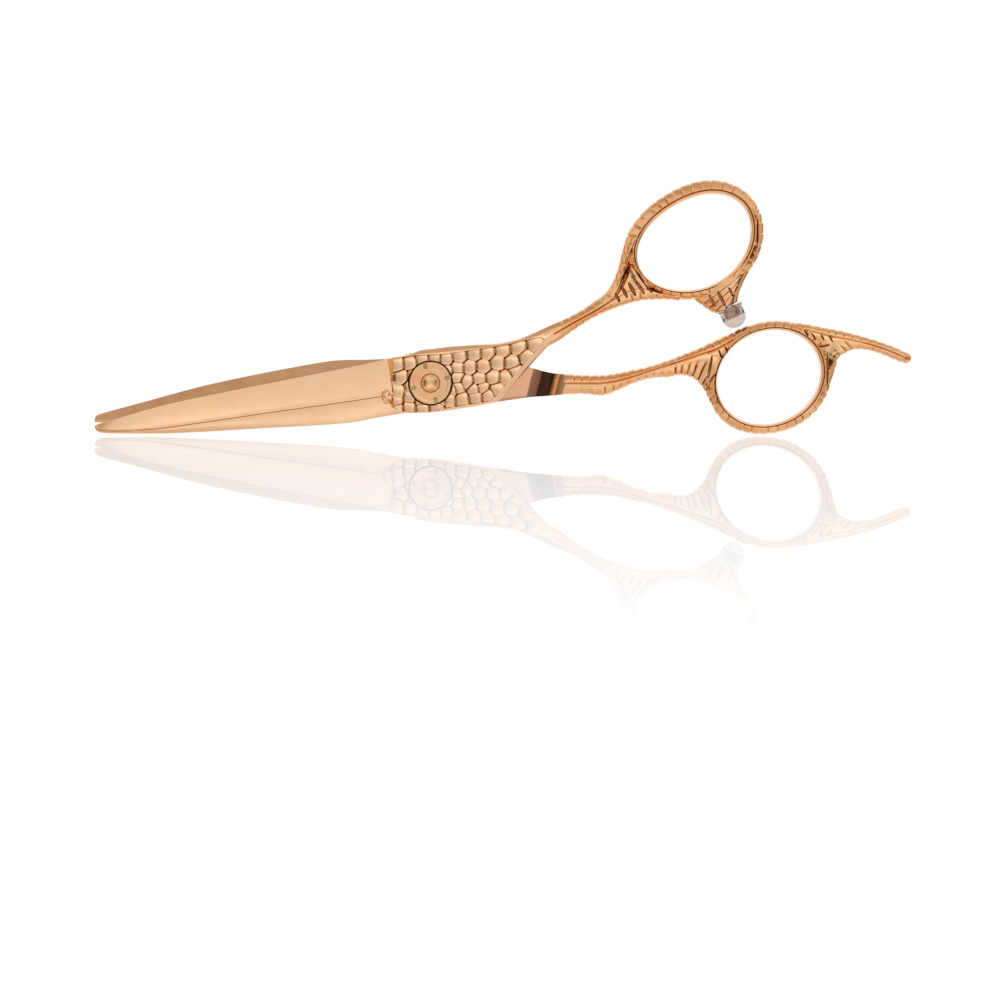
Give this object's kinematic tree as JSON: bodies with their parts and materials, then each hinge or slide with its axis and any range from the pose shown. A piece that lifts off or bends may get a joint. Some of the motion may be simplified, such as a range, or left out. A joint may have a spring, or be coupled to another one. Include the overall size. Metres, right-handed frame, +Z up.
{
  "type": "hair cutting shears",
  "caption": "Convex-edge hair cutting shears with scale-textured pivot panels, bark-textured offset finger rings, a fixed tang, a soft ring bumper and a click-dial ball-bearing pivot.",
  "frame": {"origin": "centre of the pivot screw's flat head, on the shears' back face", "axes": "+X from the pivot towards the finger rings, +Y out of the back face along the pivot, +Z up across the blades, with the shears standing on edge as in use"},
  "size_m": [0.1679, 0.0073, 0.0519],
  "materials": {
    "rose_gold_steel": "polished steel with a rose-gold vapour coating",
    "rose_gold_cast": "cast and polished steel with a rose-gold vapour coating",
    "rose_gold_turned": "turned steel with a rose-gold vapour coating",
    "bearing_steel": "ground bearing steel",
    "bright_steel": "polished stainless steel",
    "bearing_bronze": "sintered bronze",
    "glide_plastic": "low-friction plastic",
    "clear_silicone": "clear soft silicone"
  },
  "bodies": {
    "finger_half": {"finger_blade": "rose_gold_steel", "finger_handle": "rose_gold_cast", "pivot_bush": "bearing_bronze", "glide_washer": "glide_plastic", "bearing_inner_race": "bearing_steel"},
    "thumb_half": {"thumb_blade": "rose_gold_steel", "thumb_handle": "rose_gold_cast", "pivot_screw": "rose_gold_turned", "bearing_outer_race": "bearing_steel", "click_ring": "bearing_steel", "bumper_stud": "bright_steel", "bumper_cap": "clear_silicone"},
    "bearing": {"bearing_cage": "bearing_bronze", "bearing_ball_1": "bearing_steel", "bearing_ball_2": "bearing_steel", "bearing_ball_3": "bearing_steel", "bearing_ball_4": "bearing_steel", "bearing_ball_5": "bearing_steel", "bearing_ball_6": "bearing_steel", "bearing_ball_7": "bearing_steel", "bearing_ball_8": "bearing_steel"},
    "dial": {"tension_dial": "rose_gold_turned", "click_spring": "bearing_steel"}
  },
  "joints": [
    {"name": "blades", "type": "hinge", "parent": "finger_half", "child": "thumb_half", "pos_m": [0, -0.0037, 0], "axis": [0, -1, 0], "range_deg": [-0.3, 90]},
    {"name": "bearing_roll", "type": "hinge", "parent": "finger_half", "child": "bearing", "pos_m": [0, -0.0016, 0], "axis": [0, -1, 0], "range_deg": [-0.15, 45]},
    {"name": "dial_turn", "type": "hinge", "parent": "thumb_half", "child": "dial", "pos_m": [0, -0.0066, 0], "axis": [0, -1, 0], "range_deg": [-120, 120]}
  ],
  "couplings": [
    {"joint": "bearing_roll", "follows": "blades", "ratio": 0.5}
  ]
}
